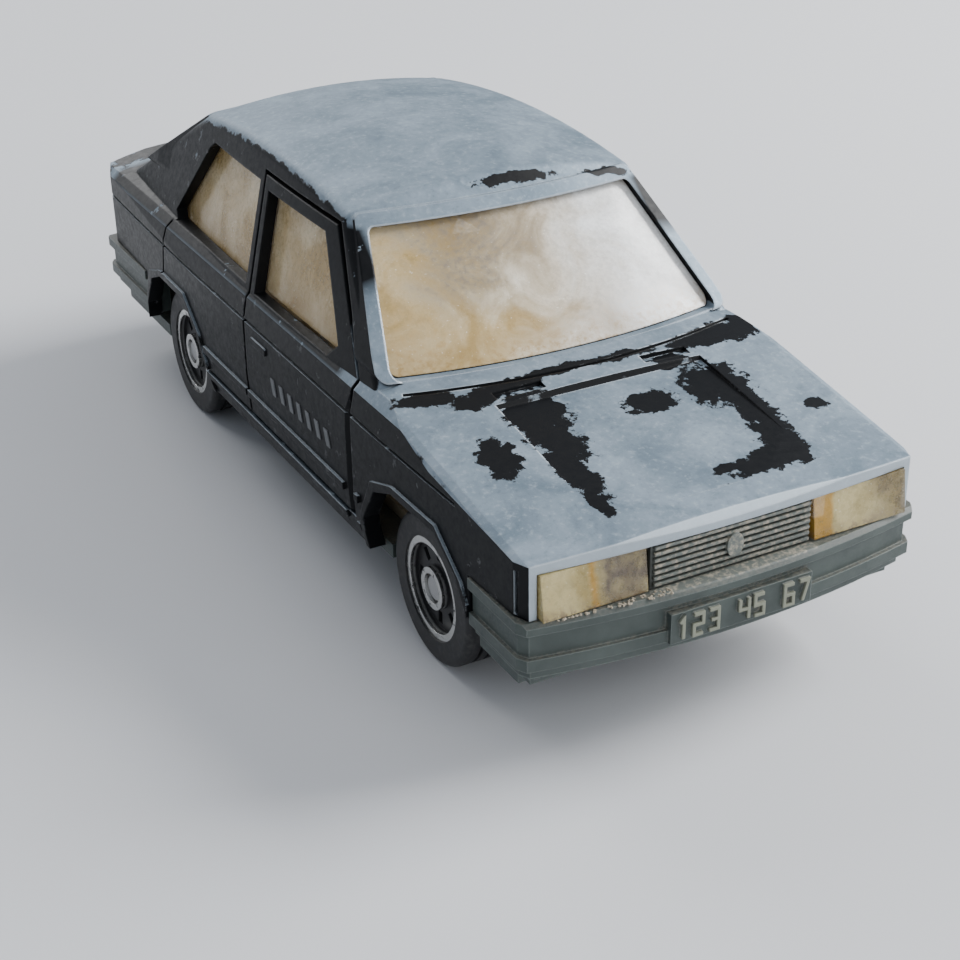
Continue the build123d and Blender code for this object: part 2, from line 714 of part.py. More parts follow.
def dashboard():
    """Dash with instrument hood, column and steering wheel."""
    tilt = Plane(origin=(SEAT_X, -9.9, 12.6), x_dir=(1, 0, 0), z_dir=(0, 0.86, 0.5))
    with BuildPart() as dash:
        with BuildSketch(Plane.YZ.offset(-10.0)):
            with BuildLine():
                Polyline((-15.0, TUB_Z), (-15.0, 13.6), (-14.2, 14.3), (-12.6, 14.4),
                         (-11.6, 13.6), (-11.9, 11.6), (-13.6, 10.6), (-14.2, TUB_Z), close=True)
            make_face()
        extrude(amount=20.0)
        with BuildSketch(tilt.offset(-0.25)):
            Circle(2.2)
            Circle(1.85, mode=Mode.SUBTRACT)
            Rectangle(4.0, 0.45)
            Circle(0.6)
        extrude(amount=0.45)
        with BuildSketch(tilt.offset(-3.2)):
            Circle(0.45)
        extrude(amount=3.0)
    return dash.part


with BuildPart() as interior_tub:
    with BuildSketch(Plane.XY.offset(TUB_Z)):
        with Locations((0, -1.4)):
            Rectangle(20.4, 27.4)
    extrude(amount=0.8)
    for x in (-SEAT_X, SEAT_X):
        add(front_seat(x))
    add(dashboard())
    with Locations((0, -3.0, 6.6)):
        Box(2.2, 12, 1.8)
    with BuildSketch(Plane.YZ.offset(-9.1)):
        with BuildLine():
            Polyline((9.6, 5.5), (9.6, 9.4), (15.6, 9.0), (18.0, 14.9), (26.6, 15.1), (26.6, 14.3),
                     (19.8, 14.1), (18.3, 9.4), (18.3, 7.7), (12.3, 7.7), (12.3, 5.5), close=True)
        make_face()
    extrude(amount=18.2)
    with BuildSketch(Plane.XY.offset(7.2)):
        with Locations((0, REAR_AXLE_Y)):
            Circle(1.0)
    extrude(amount=4)


# ---- springs, axles and wheels -------------------------------------------------
def leaf_spring(centre):
    """Thin bowed strip that presses an axle down on both sides."""
    low = WHEEL_R + AXLE_R + 0.02
    with BuildPart() as spring:
        with BuildSketch(Plane.XZ.offset(-centre - 1.3)):
            with BuildLine():
                arc = ThreePointArc((-7.4, low + 0.1), (0, low + 1.45), (7.4, low + 0.1))
            trace(arc, line_width=0.2)
        extrude(amount=2.6)
    return spring.part


with BuildPart() as front_leaf_spring:
    add(leaf_spring(FRONT_AXLE_Y))

with BuildPart() as rear_leaf_spring:
    add(leaf_spring(REAR_AXLE_Y))


def axle(centre):
    """Steel wire axle with peened ends."""
    with BuildPart() as bar:
        with BuildSketch(Plane.YZ.offset(-12.0)):
            with Locations((centre, WHEEL_R)):
                Circle(AXLE_R)
        extrude(amount=24.0)
        for side in SIDES.values():
            with BuildSketch(Plane.YZ.offset(side * 12.0 - 0.15)):
                with Locations((centre, WHEEL_R)):
                    Circle(0.85)
            extrude(amount=0.3)
        chamfer(bar.edges().filter_by(GeomType.CIRCLE).filter_by(
            lambda e: e.radius > 0.8 and abs(e.center().X) > 12.1), 0.12)
    return bar.part


with BuildPart() as front_axle:
    add(axle(FRONT_AXLE_Y))

with BuildPart() as rear_axle:
    add(axle(REAR_AXLE_Y))


def wheel_plane(centre, side):
    """Plane on the outer face of a wheel, looking outwards."""
    return Plane(origin=(side * WHEEL_OUT_X, centre, WHEEL_R), x_dir=(0, side, 0),
                 z_dir=(side, 0, 0))


def tyre(centre, side):
    """Ring-shaped tyre with rounded shoulders and two tread grooves."""
    plane = wheel_plane(centre, side)
    with BuildPart() as ring:
        with BuildSketch(plane):
            Circle(WHEEL_R)
            Circle(TYRE_BORE_R, mode=Mode.SUBTRACT)
        extrude(amount=-TYRE_W)
        fillet(ring.edges().filter_by(GeomType.CIRCLE).filter_by(
            lambda e: e.radius > WHEEL_R - 0.1), 0.45)
        for depth in (0.95, 1.7):
            with BuildSketch(plane.offset(-depth)):
                Circle(WHEEL_R + 1)
                Circle(WHEEL_R - 0.2, mode=Mode.SUBTRACT)
            extrude(amount=-0.25, mode=Mode.SUBTRACT)
    return ring.part


def hub(centre, side):
    """Dished hub with eight slots around a raised centre."""
    plane = wheel_plane(centre, side)
    with BuildPart() as disc:
        with BuildSketch(plane.offset(-0.1)):
            Circle(TYRE_BORE_R)
        extrude(amount=-TYRE_W + 0.4)
        with BuildSketch(plane.offset(-0.1)):
            Circle(2.85)
            Circle(1.35, mode=Mode.SUBTRACT)
        extrude(amount=-0.55, mode=Mode.SUBTRACT)
        with BuildSketch(plane.offset(-0.1)):
            with PolarLocations(2.15, 8):
                Rectangle(0.85, 0.5)
        extrude(amount=-1.1, mode=Mode.SUBTRACT)
        with BuildSketch(plane):
            Circle(0.95)
        extrude(amount=-0.62, mode=Mode.SUBTRACT)
        with BuildSketch(plane):
            Circle(HUB_BORE_R)
        extrude(amount=-4, mode=Mode.SUBTRACT)
    return disc.part


WHEELS = {}
for axle_name, axle_y in AXLE_YS.items():
    for side_name, side in SIDES.items():
        with BuildPart() as wheel_tyre:
            add(tyre(axle_y, side))
        with BuildPart() as wheel_hub:
            add(hub(axle_y, side))
        WHEELS[f"{axle_name}_{side_name}_tyre"] = wheel_tyre
        WHEELS[f"{axle_name}_{side_name}_hub"] = wheel_hub


# ---- export ----------------------------------------------------------------------
NODES = {
    "body_shell": body_shell,
    "door_left": door_left,
    "door_right": door_right,
    "base_plate": base_plate,
    "glazing": glazing,
    "headlamp_lenses": headlamp_lenses,
    "interior_tub": interior_tub,
    "front_leaf_spring": front_leaf_spring,
    "rear_leaf_spring": rear_leaf_spring,
    "front_axle": front_axle,
    "rear_axle": rear_axle,
}
NODES.update(WHEELS)

for name, node in NODES.items():
    node.part.label = name
    export_step(node.part, f"parts/{name}.step")
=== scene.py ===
import json
import math
import random

import bpy
from mathutils import Matrix, Vector


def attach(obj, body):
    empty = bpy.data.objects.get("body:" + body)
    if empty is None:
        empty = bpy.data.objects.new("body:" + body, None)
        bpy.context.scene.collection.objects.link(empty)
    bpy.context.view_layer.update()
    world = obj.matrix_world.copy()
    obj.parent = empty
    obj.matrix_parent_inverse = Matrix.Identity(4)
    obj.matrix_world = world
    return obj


# Worn diecast saloon car. Patterns are laid out in millimetres in the frame
# of the CAD model: -Y is the front, +Z is up, the floor is Z = 0.

MM = 0.001

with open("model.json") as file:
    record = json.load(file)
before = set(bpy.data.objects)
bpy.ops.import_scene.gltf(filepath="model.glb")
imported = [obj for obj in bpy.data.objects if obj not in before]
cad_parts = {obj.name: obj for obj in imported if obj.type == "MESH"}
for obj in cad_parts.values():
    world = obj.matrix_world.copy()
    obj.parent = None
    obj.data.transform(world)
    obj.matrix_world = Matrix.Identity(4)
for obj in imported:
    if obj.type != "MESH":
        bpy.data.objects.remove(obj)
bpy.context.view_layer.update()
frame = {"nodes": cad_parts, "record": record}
NODES = frame["nodes"]

# ---- places, in millimetres ---------------------------------------------
LAMP_BAND_X = 8.9
PLATE_FACE_Y = 36.4
PLATE_HALF_WIDTH = 4.7
GRILLE_HALF_WIDTH = 5.4
GRILLE_RIB_Y = 35.05
NOSE_Y = 33.0
WINDSCREEN_TOP_Y = 9.0
HUB_FACE_X = 11.9
BUMPER_TOP_Z = 9.45
BUMPER_NOSE_Y = 36.3
BUMPER_TOP_BACK_Y = 35.36
DOOR_SKIN_X = 13.5

GRAINS = 70
GRAIN_CORNERS = 5

BARS = 7
BAR_START_Y = -11.2
BAR_PITCH = 1.45
BAR_CORNERS = ((0.0, 9.7), (0.55, 9.7), (0.95, 10.8), (0.4, 10.8))
BAR_PROUD = 0.07
BAR_SUNK = 0.05

# The camera: angles in degrees, place in millimetres, lens in millimetres.
VIEW_AZIMUTH = -27.9
VIEW_ELEVATION = 27.77
VIEW_ROLL = -1.02
EYE = (-52.0, -103.7, 59.8)
LENS = 66.67
SENSOR = 36.0

# Islands of black paint left on the hood, the roof and the boot: x, y,
# half length along Y, half width along X, turn in degrees.
PAINT_ISLANDS = [
    (-5.4, -22.6, 2.3, 2.2, 0),
    (-5.6, -25.4, 2.5, 1.6, 4),
    (-6.2, -28.6, 2.9, 1.0, 3),
    (-6.6, -31.6, 1.7, 0.5, 0),
    (-9.5, -25.8, 1.9, 1.2, -15),
    (1.6, -24.2, 1.2, 1.8, 0),
    (6.4, -24.2, 2.4, 2.2, 0),
    (7.0, -27.6, 2.4, 1.1, 0),
    (6.5, -30.6, 2.5, 1.3, 0),
    (4.6, -32.0, 1.0, 2.9, 8),
    (1.9, -31.8, 0.6, 1.0, 0),
    (10.9, -28.0, 0.6, 0.9, 0),
    (-10.5, -19.0, 0.7, 2.1, -15),
    (-8.0, -20.2, 0.8, 1.7, 0),
    (-6.0, -19.7, 0.6, 2.6, 0),
    (-1.8, -19.4, 0.4, 3.6, 0),
    (2.5, -19.5, 0.5, 2.6, 0),
    (5.2, -20.8, 0.8, 1.4, 0),
    (8.6, -19.4, 1.0, 2.8, 10),
    (10.8, -19.2, 1.2, 1.9, 0),
    (12.2, -18.4, 0.9, 1.0, 0),
    (1.2, -8.3, 0.35, 2.8, 0),
    (8.0, -8.5, 0.3, 1.6, 0),
    (-7.5, 33.8, 1.3, 5.5, 0),
    (6.5, 34.0, 1.1, 6.0, 0),
    (-12.0, 27.5, 5.0, 0.9, 0),
    (11.8, 24.0, 4.0, 0.8, 0),
]

# ---- small helpers for node materials -------------------------------------
class Shader:
    """One Principled material and short calls for the nodes behind it."""

    def __init__(self, name, **constants):
        self.material = bpy.data.materials.new(name)
        self.material.use_nodes = True
        self.tree = self.material.node_tree
        self.bsdf = self.tree.nodes["Principled BSDF"]
        for socket, value in constants.items():
            self.bsdf.inputs[socket.replace("_", " ")].default_value = value
        coordinates = self.tree.nodes.new("ShaderNodeTexCoord").outputs["Object"]
        self.mm = self.vector("MULTIPLY", coordinates, (1000, 1000, 1000))
        split = self.tree.nodes.new("ShaderNodeSeparateXYZ")
        self.tree.links.new(self.mm, split.inputs[0])
        self.x, self.y, self.z = split.outputs
        self.geometry = self.tree.nodes.new("ShaderNodeNewGeometry")
        facing = self.tree.nodes.new("ShaderNodeSeparateXYZ")
        self.tree.links.new(self.geometry.outputs["Normal"], facing.inputs[0])
        self.nx, self.ny, self.nz = facing.outputs
        self.round_normal = None

    def put(self, socket, value):
        """Links a socket, or sets its number or colour."""
        if isinstance(value, bpy.types.NodeSocket):
            self.tree.links.new(value, socket)
        else:
            socket.default_value = value

    def set(self, name, value):
        self.put(self.bsdf.inputs[name], value)

    def math(self, operation, *values, clamp=False):
        node = self.tree.nodes.new("ShaderNodeMath")
        node.operation = operation
        node.use_clamp = clamp
        for socket, value in zip(node.inputs, values):
            self.put(socket, value)
        return node.outputs[0]

    def vector(self, operation, *values):
        node = self.tree.nodes.new("ShaderNodeVectorMath")
        node.operation = operation
        for socket, value in zip(node.inputs, values):
            self.put(socket, value)
        return node.outputs["Value" if operation in ("LENGTH", "DOT_PRODUCT") else "Vector"]

    def noise(self, scale, detail=4.0, roughness=0.55, where=None, distortion=0.0):
        """Noise of a scale per millimetre, from 0 to 1."""
        node = self.tree.nodes.new("ShaderNodeTexNoise")
        self.put(node.inputs["Vector"], where or self.mm)
        node.inputs["Scale"].default_value = scale
        node.inputs["Detail"].default_value = detail
        node.inputs["Roughness"].default_value = roughness
        node.inputs["Distortion"].default_value = distortion
        return node.outputs[0]

    def shifted(self, amount, scale, detail=3.0):
        """Millimetre coordinates pushed about by noise, for ragged outlines."""
        node = self.tree.nodes.new("ShaderNodeTexNoise")
        self.put(node.inputs["Vector"], self.mm)
        node.inputs["Scale"].default_value = scale
        node.inputs["Detail"].default_value = detail
        centred = self.vector("SUBTRACT", node.outputs["Color"], (0.5, 0.5, 0.5))
        scaled = self.vector("MULTIPLY", centred, (amount, amount, amount))
        return self.vector("ADD", self.mm, scaled)

    def range(self, value, low, high, to_low=0.0, to_high=1.0, smooth=False):
        """Clamped map of a value from one range to another."""
        node = self.tree.nodes.new("ShaderNodeMapRange")
        node.interpolation_type = "SMOOTHSTEP" if smooth else "LINEAR"
        for socket, given in zip(node.inputs, (value, low, high, to_low, to_high)):
            self.put(socket, given)
        return node.outputs[0]

    def between(self, value, low, high, soft):
        """1 inside a stretch of values, 0 outside, with soft ends."""
        return self.math("MULTIPLY", self.range(value, low - soft, low + soft),
                         self.range(value, high - soft, high + soft, 1.0, 0.0))

    def mix(self, factor, first, second):
        """Colour between two colours."""
        node = self.tree.nodes.new("ShaderNodeMix")
        node.data_type = "RGBA"
        for socket, value in zip((node.inputs[0], node.inputs[6], node.inputs[7]),
                                 (factor, first, second)):
            self.put(socket, (*value, 1.0) if isinstance(value, tuple) and len(value) == 3 else value)
        return node.outputs[2]

    def most(self, values):
        """Largest of several values."""
        result = values[0]
        for value in values[1:]:
            result = self.math("MAXIMUM", result, value)
        return result

    def corners(self, radius):
        """Normal that rounds every sharp edge, made once for a material."""
        if self.round_normal is None:
            node = self.tree.nodes.new("ShaderNodeBevel")
            node.samples = 4
            node.inputs["Radius"].default_value = radius * MM
            self.round_normal = node.outputs[0]
        return self.round_normal

    def edges(self, radius):
        """About 1 on sharp outer and inner edges, 0 on flat ground."""
        along = self.vector("DOT_PRODUCT", self.corners(radius), self.geometry.outputs["Normal"])
        return self.range(along, 0.985, 0.86)

    def recess(self, reach):
        """1 deep in grooves and corners, 0 on open faces."""
        node = self.tree.nodes.new("ShaderNodeAmbientOcclusion")
        node.samples = 4
        node.inputs["Distance"].default_value = reach * MM
        return self.range(node.outputs["AO"], 0.72, 0.42)

    def rounded(self, radius, height, strength, distance):
        """Rounds every sharp edge and adds a height pattern on top."""
        bump = self.tree.nodes.new("ShaderNodeBump")
        bump.inputs["Strength"].default_value = strength
        bump.inputs["Distance"].default_value = distance * MM
        self.put(bump.inputs["Height"], height)
        self.put(bump.inputs["Normal"], self.corners(radius))
        self.set("Normal", bump.outputs[0])

    def island(self, where, x, y, along, across, turn):
        """Height of one rounded island, above 0 inside it."""
        moved = self.vector("SUBTRACT", where, (x, y, 0))
        node = self.tree.nodes.new("ShaderNodeVectorRotate")
        node.rotation_type = "Z_AXIS"
        node.inputs["Angle"].default_value = math.radians(-turn)
        self.put(node.inputs["Vector"], moved)
        scaled = self.vector("MULTIPLY", node.outputs[0], (1 / across, 1 / along, 0))
        return self.math("SUBTRACT", 1.0, self.vector("LENGTH", scaled))


# ---- materials ---------------------------------------------------------------
def paint_mask(s, level, worn, hidden):
    """Black paint: islands on top, most of the sides, grooves and the cabin.

    Also returns how far a face is turned sideways and how far it is the nose.
    """
    ragged = s.shifted(1.1, 0.6, 4.0)
    flat = s.vector("MULTIPLY", ragged, (1, 1, 0))
    breakup = s.math("SUBTRACT", s.noise(1.3, 9.0, 0.7), 0.5)
    islands = s.most([s.island(flat, *patch) for patch in PAINT_ISLANDS])
    torn = s.math("ADD", islands, s.math("MULTIPLY", breakup, 2.2))
    top = s.range(torn, -0.03, 0.03)

    slope = s.math("ADD", s.nz, s.math("MULTIPLY", s.math("SUBTRACT", level, 0.5), 0.9))
    sideways = s.range(slope, 0.56, 0.48)
    nose = s.math("MULTIPLY", s.range(s.ny, -0.45, -0.65), s.range(s.y, -NOSE_Y, -NOSE_Y - 1.0))
    sideways = s.math("MULTIPLY", sideways, s.math("SUBTRACT", 1.0, nose))
    chips = s.range(s.math("ADD", level, s.math("MULTIPLY", worn, 0.08)), 0.635, 0.65)
    side = s.math("MULTIPLY", sideways, s.math("SUBTRACT", 1.0, chips))
    groove = s.math("MULTIPLY", hidden, s.range(level, 0.36, 0.40))
    cabin = s.math("MULTIPLY", s.range(s.math("ABSOLUTE", s.x), 9.4, 10.0), s.between(s.z, 14.9, 22.9, 0.15))
    cabin = s.math("MULTIPLY", cabin, s.between(s.y, -12.0, 32.0, 0.5))
    cabin = s.math("MULTIPLY", cabin, s.range(level, 0.66, 0.64))
    return s.most([s.math("MULTIPLY", top, s.range(s.nz, 0.35, 0.6)), side, groove, cabin]), sideways, nose


def worn_zinc(name):
    """Bare zinc with blotches and scratches, black paint left on it, painted shade on the bare metal of the
    side faces, and bright edges that are partly rubbed metal and partly a painted highlight.
    """
    s = Shader(name, Specular_IOR_Level=0.14)
    level = s.noise(0.7, 7.0, 0.66)
    worn = s.edges(0.18)
    paint, sideways, nose = paint_mask(s, level, worn, s.recess(0.7))
    bare = s.math("SUBTRACT", 1.0, paint)
    cloud = s.noise(0.22, 6.0, 0.65, distortion=0.6)
    fine = s.noise(2.4, 8.0, 0.7)
    grain = s.noise(9.0, 4.0, 0.6)
    metal = s.mix(s.range(cloud, 0.36, 0.66), (0.15, 0.20, 0.245), (0.255, 0.315, 0.37))
    metal = s.mix(s.range(fine, 0.53, 0.70, 0.0, 0.6), metal, (0.38, 0.44, 0.49))
    metal = s.mix(s.range(fine, 0.45, 0.30, 0.0, 0.5), metal, (0.10, 0.135, 0.17))
    metal = s.mix(s.math("MULTIPLY", nose, 0.6), metal, (0.50, 0.56, 0.60))
    # Painted shade: bare metal on faces turned sideways is made dark brown-grey, as if in shadow.
    metal = s.mix(s.math("MULTIPLY", sideways, 0.85), metal, (0.060, 0.052, 0.047))
    # Bright edges: partly rubbed bare metal, partly a painted highlight, made weaker on the side faces as
    # painted shade.
    rubbed_edge_and_highlight = s.math("MULTIPLY", worn, s.math("SUBTRACT", 0.75, s.math("MULTIPLY", sideways, 0.64)))
    metal = s.mix(rubbed_edge_and_highlight, metal, (0.66, 0.71, 0.75))
    s.set("Base Color", s.mix(paint, metal, (0.0045, 0.005, 0.006)))
    s.set("Metallic", s.math("MULTIPLY", bare, 0.3))
    bare_rough = s.math("MULTIPLY", s.range(cloud, 0.3, 0.7, 0.42, 0.6), bare)
    paint_rough = s.math("MULTIPLY", s.range(fine, 0.3, 0.7, 0.30, 0.5), paint)
    s.set("Roughness", s.math("ADD", bare_rough, paint_rough))
    height = s.math("ADD", s.math("MULTIPLY", paint, 0.9),
                    s.math("ADD", s.math("MULTIPLY", grain, 0.10), s.math("MULTIPLY", fine, 0.25)))
    s.rounded(0.18, height, 0.5, 0.045)
    return s.material


def dusty_plastic(name, dark, light, dust, edge):
    """Moulded plastic with a little dust on top and dirt in the corners."""
    s = Shader(name, Specular_IOR_Level=0.4)
    cloud = s.noise(0.35, 5.0, 0.6)
    grain = s.noise(5.0, 5.0, 0.65)
    colour = s.mix(s.range(cloud, 0.35, 0.65), dark, light)
    dirty = s.math("MULTIPLY", s.recess(0.5), s.range(grain, 0.46, 0.56, 0.1, 0.8))
    up = s.math("MULTIPLY", s.range(s.nz, 0.5, 0.95), s.range(grain, 0.40, 0.62, 0.05, 0.45))
    colour = s.mix(s.math("MAXIMUM", dirty, up), colour, dust)
    colour = s.mix(s.math("MULTIPLY", s.edges(0.1), 0.5), colour, edge)
    s.set("Base Color", colour)
    s.set("Roughness", s.range(grain, 0.3, 0.7, 0.36, 0.56))
    s.rounded(0.1, s.math("ADD", grain, dirty), 0.25, 0.015)
    return s


def base_material():
    """Grey-green plastic: dusty grille ribs, a painted highlight on the plate digits, worn lower lip."""
    s = dusty_plastic("grey_plastic", (0.041, 0.053, 0.049), (0.066, 0.083, 0.076),
                      (0.24, 0.22, 0.18), (0.29, 0.33, 0.31))
    colour = s.bsdf.inputs["Base Color"].links[0].from_socket
    speck = s.noise(3.0, 7.0, 0.7)
    grille_width = s.between(s.x, -GRILLE_HALF_WIDTH, GRILLE_HALF_WIDTH, 0.05)
    in_grille = s.math("MULTIPLY", s.between(s.z, 9.4, 12.3, 0.05), grille_width)
    in_grille = s.math("MULTIPLY", in_grille, s.range(s.y, -33.9, -34.1))
    ribs = s.range(s.y, -GRILLE_RIB_Y, -GRILLE_RIB_Y - 0.15)
    dusty_rib = s.mix(s.range(speck, 0.47, 0.62), (0.125, 0.14, 0.128), (0.36, 0.33, 0.26))
    grille = s.mix(ribs, (0.060, 0.065, 0.058), dusty_rib)
    colour = s.mix(in_grille, colour, grille)
    # Painted highlight: the front faces of the raised plate digits are made light beige.
    figure_highlight = s.range(s.math("ABSOLUTE", s.y), PLATE_FACE_Y, PLATE_FACE_Y + 0.08)
    plate_width = s.between(s.x, -PLATE_HALF_WIDTH, PLATE_HALF_WIDTH, 0.05)
    in_plate = s.math("MULTIPLY", s.between(s.z, 6.5, 8.2, 0.05), plate_width)
    figure_highlight = s.math("MULTIPLY", figure_highlight, s.math("MULTIPLY", in_plate, 0.85))
    colour = s.mix(figure_highlight, colour, (0.25, 0.26, 0.195))
    lip = s.math("MULTIPLY", s.between(s.z, 5.2, 5.75, 0.08), s.range(speck, 0.42, 0.56))
    lip = s.math("MULTIPLY", lip, s.range(s.math("ABSOLUTE", s.y), 31.0, 33.0))
    colour = s.mix(s.math("MULTIPLY", lip, 0.6), colour, (0.32, 0.36, 0.34))
    s.set("Base Color", colour)
    return s.material


def yellowed_plastic(name, clear, hazy, amber, low, high):
    """Clear plastic gone yellow, with hazy clouds and fine white specks."""
    s = Shader(name, IOR=1.49, Coat_Weight=0.5, Coat_Roughness=0.1)
    s.cloud = s.noise(0.24, 6.0, 0.6, distortion=0.8)
    s.fine = s.noise(2.6, 8.0, 0.72)
    s.specks = s.range(s.noise(5.5, 3.0, 0.6), 0.66, 0.72)
    colour = s.mix(s.range(s.cloud, 0.38, 0.62), clear, hazy)
    colour = s.mix(s.range(s.fine, 0.52, 0.7, 0.0, 0.5), colour, amber)
    s.colour = s.mix(s.math("MULTIPLY", s.specks, 0.7), colour, (0.95, 0.92, 0.82))
    s.cover = s.math("ADD", s.range(s.cloud, 0.3, 0.7, low, high),
                     s.math("ADD", s.math("MULTIPLY", s.specks, 0.2), s.range(s.fine, 0.4, 0.75, -0.1, 0.15)),
                     clamp=True)
    s.set("Base Color", s.colour)
    s.set("Alpha", s.cover)
    s.set("Roughness", s.range(s.fine, 0.3, 0.7, 0.14, 0.42))
    s.rounded(0.1, s.fine, 0.2, 0.02)
    return s


def glazing_material():
    """Windows: amber on the right of the windscreen, with a painted white glare on its left."""
    s = yellowed_plastic("yellowed_clear", (0.60, 0.42, 0.17), (0.74, 0.60, 0.36), (0.50, 0.31, 0.09),
                         0.52, 0.86)
    screen = s.range(s.y, 2.0 - WINDSCREEN_TOP_Y, -WINDSCREEN_TOP_Y)
    across = s.math("ADD", s.x, s.math("MULTIPLY", s.math("SUBTRACT", s.cloud, 0.5), 14.0))
    # Painted reflection: the windscreen turns near white towards its left side, a glare of light on the
    # glass.
    painted_glare = s.math("MULTIPLY", s.range(across, -4.0, 6.5, 0.0, 0.95), screen)
    colour = s.mix(painted_glare, s.colour, (0.88, 0.90, 0.90))
    smudge = s.math("MULTIPLY", s.between(across, -7.0, -1.0, 1.6), s.range(s.z, 17.5, 19.5))
    smudge = s.math("MULTIPLY", s.math("MULTIPLY", smudge, screen), s.range(s.fine, 0.36, 0.62, 0.25, 0.85))
    colour = s.mix(smudge, colour, (0.22, 0.19, 0.155))
    stain = s.math("MULTIPLY", s.range(s.z, 18.0, 16.2), s.range(s.fine, 0.42, 0.6))
    colour = s.mix(s.math("MULTIPLY", stain, 0.7), colour, (0.36, 0.22, 0.07))
    s.set("Base Color", colour)
    s.set("Alpha", s.math("ADD", s.cover, s.math("MULTIPLY", screen, 0.1), clamp=True))
    return s.material


def lens_material():
    """Lamp lenses: yellow with smoky parts and an amber band in each."""
    s = yellowed_plastic("yellowed_lens", (0.42, 0.32, 0.11), (0.62, 0.52, 0.25), (0.34, 0.22, 0.05),
                         0.6, 0.82)
    wobble = s.math("MULTIPLY", s.math("SUBTRACT", s.noise(0.7), 0.5), 0.9)
    across = s.math("ADD", s.x, wobble)
    smoke = s.range(s.noise(0.6, 5.0), 0.36, 0.6, 0.4, 1.0)
    right_smoke = s.between(across, -LAMP_BAND_X + 0.4, -4.0, 0.4)
    left_smoke = s.range(across, 9.0, 10.6, 0.0, 0.8)
    colour = s.mix(s.math("MULTIPLY", s.math("MAXIMUM", right_smoke, left_smoke), smoke), s.colour,
                   (0.13, 0.10, 0.07))
    right_band = s.between(across, -LAMP_BAND_X - 0.25, -LAMP_BAND_X + 0.15, 0.18)
    left_band = s.between(across, 4.0, 6.9, 0.12)
    colour = s.mix(s.math("MULTIPLY", s.math("MAXIMUM", right_band, left_band), 0.85), colour,
                   (0.52, 0.27, 0.02))
    dirt = s.math("MULTIPLY", s.range(s.z, 10.25, 9.6), s.range(s.fine, 0.46, 0.56))
    s.set("Base Color", s.mix(s.math("MULTIPLY", dirt, 0.85), colour, (0.16, 0.11, 0.06)))
    return s.material


def tub_material():
    """Cream seats and trim."""
    return dusty_plastic("cream_plastic", (0.44, 0.36, 0.23), (0.56, 0.48, 0.33), (0.30, 0.24, 0.15),
                         (0.66, 0.58, 0.42)).material


def steel_material(name, colour):
    """Drawn steel with fine lines and a little rust."""
    s = Shader(name, Metallic=1.0)
    stretched = s.vector("MULTIPLY", s.mm, (0.3, 6, 6))
    lines = s.noise(2.0, 4.0, where=stretched)
    rust = s.range(s.noise(1.2, 6.0), 0.58, 0.68)
    s.set("Base Color", s.mix(s.math("MULTIPLY", rust, 0.6), colour, (0.16, 0.07, 0.03)))
    s.set("Roughness", s.range(lines, 0.3, 0.7, 0.28, 0.5))
    s.rounded(0.05, lines, 0.15, 0.01)
    return s.material


def tyre_material():
    """Black plastic tyre, scuffed grey and dusty on the tread."""
    s = Shader("black_tyre")
    scuff = s.noise(1.4, 7.0, 0.68)
    colour = s.mix(s.range(scuff, 0.5, 0.72), (0.012, 0.012, 0.013), (0.06, 0.058, 0.055))
    s.set("Base Color", colour)
    s.set("Roughness", s.range(scuff, 0.3, 0.7, 0.4, 0.68))
    s.rounded(0.06, scuff, 0.3, 0.02)
    return s.material


def hub_material():
    """Bright stamped foil on the raised faces, worn through to black."""
    s = Shader("bright_hub")
    wear = s.noise(1.3, 7.0, 0.7)
    outer = s.range(s.math("ABSOLUTE", s.x), HUB_FACE_X, HUB_FACE_X + 0.2)
    foil = s.math("MULTIPLY", outer, s.range(wear, 0.62, 0.56))
    s.set("Base Color", s.mix(foil, (0.02, 0.02, 0.021), (0.66, 0.66, 0.64)))
    s.set("Metallic", foil)
    s.set("Roughness", s.range(foil, 0.0, 1.0, 0.5, 0.26))
    s.rounded(0.06, wear, 0.2, 0.015)
    return s.material


def grit_material():
    """Grains of dry dirt."""
    s = Shader("dry_grit")
    s.set("Base Color", s.mix(s.noise(0.9, 3.0), (0.20, 0.15, 0.09), (0.55, 0.50, 0.40)))
    s.set("Roughness", s.range(s.noise(6.0), 0.3, 0.7, 0.7, 0.9))
    return s.material


def marks_material():
    """Plain pale print on the doors, evenly rubbed thin."""
    s = Shader("worn_marks")
    s.set("Base Color", s.mix(s.noise(0.5), (0.10, 0.107, 0.112), (0.15, 0.158, 0.165)))
    s.set("Roughness", s.range(s.noise(4.0), 0.3, 0.7, 0.4, 0.6))
    return s.material


MARKS = marks_material()
MATERIALS = {
    "bare_zinc": worn_zinc("bare_zinc"),
    "grey_plastic": base_material(),
    "yellowed_clear": glazing_material(),
    "yellowed_lens": lens_material(),
    "cream_plastic": tub_material(),
    "spring_steel": steel_material("spring_steel", (0.32, 0.32, 0.33)),
    "axle_steel": steel_material("axle_steel", (0.5, 0.5, 0.5)),
    "black_tyre": tyre_material(),
    "bright_hub": hub_material(),
}


def dress_nodes():
    """Gives every CAD node the material of its slot in the record."""
    for part in frame["record"]["subparts"]:
        node = NODES[part["node"]]
        node.data.materials.clear()
        node.data.materials.append(MATERIALS[part["material_slot"]])


def mesh_piece(name, verts, faces, material, body):
    """New visual piece from vertices in millimetres, riding on a CAD body."""
    mesh = bpy.data.meshes.new(name)
    mesh.from_pydata([Vector(v) * MM for v in verts], [], faces)
    mesh.materials.append(material)
    piece = bpy.data.objects.new(name, mesh)
    bpy.context.scene.collection.objects.link(piece)
    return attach(piece, body)


def side_faces(start, corners):
    """Faces between two rings of corners, the second right after the first."""
    return [[start + k, start + (k + 1) % corners, start + corners + (k + 1) % corners,
             start + corners + k] for k in range(corners)]


